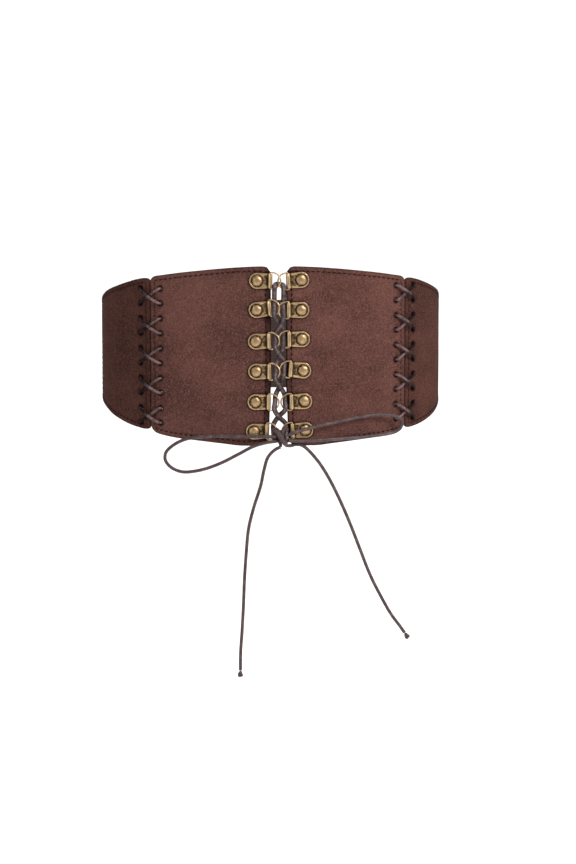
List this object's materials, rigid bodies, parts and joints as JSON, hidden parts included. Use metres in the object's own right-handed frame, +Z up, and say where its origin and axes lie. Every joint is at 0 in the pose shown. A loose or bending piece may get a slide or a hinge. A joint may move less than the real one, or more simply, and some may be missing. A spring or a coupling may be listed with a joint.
{
  "type": "corset belt",
  "caption": "Suede corset belt laced at the front through ring plates and tied in a bow, with cross-laced side panels that taper to a plain elastic back.",
  "frame": {"origin": "centre of the waist opening at half the belt's height", "axes": "+Z up along the waist opening, +X across the belt to the wearer's left, which is the viewer's right, front lacing towards -Y"},
  "size_m": [0.274, 0.2019, 0.3224],
  "materials": {
    "front_suede": "matt suede nap, mottled",
    "side_suede": "matt suede nap",
    "elastic": "ribbed woven elastic",
    "brass": "antique, worn bright on the high spots",
    "cord": "waxed braided cord, low sheen"
  },
  "bodies": {
    "root": {"front_panel_left": "front_suede", "side_panel_left": "side_suede", "side_lace_left": "cord", "front_panel_right": "front_suede", "side_panel_right": "side_suede", "side_lace_right": "cord", "back_band": "elastic", "ring_plate_left_1": "brass", "rivet_left_1": "brass", "d_ring_left_1": "brass", "ring_plate_left_2": "brass", "rivet_left_2": "brass", "d_ring_left_2": "brass", "ring_plate_left_3": "brass", "rivet_left_3": "brass", "d_ring_left_3": "brass", "ring_plate_left_4": "brass", "rivet_left_4": "brass", "d_ring_left_4": "brass", "ring_plate_left_5": "brass", "rivet_left_5": "brass", "d_ring_left_5": "brass", "ring_plate_left_6": "brass", "rivet_left_6": "brass", "d_ring_left_6": "brass", "ring_plate_right_1": "brass", "rivet_right_1": "brass", "d_ring_right_1": "brass", "ring_plate_right_2": "brass", "rivet_right_2": "brass", "d_ring_right_2": "brass", "ring_plate_right_3": "brass", "rivet_right_3": "brass", "d_ring_right_3": "brass", "ring_plate_right_4": "brass", "rivet_right_4": "brass", "d_ring_right_4": "brass", "ring_plate_right_5": "brass", "rivet_right_5": "brass", "d_ring_right_5": "brass", "ring_plate_right_6": "brass", "rivet_right_6": "brass", "d_ring_right_6": "brass", "front_lace": "cord", "bow_knot": "cord", "bow_loop_left": "cord", "bow_loop_right": "cord", "lace_tail_left": "cord", "lace_tail_right": "cord", "tail_knot_left": "cord", "tail_knot_right": "cord"}
  },
  "joints": []
}
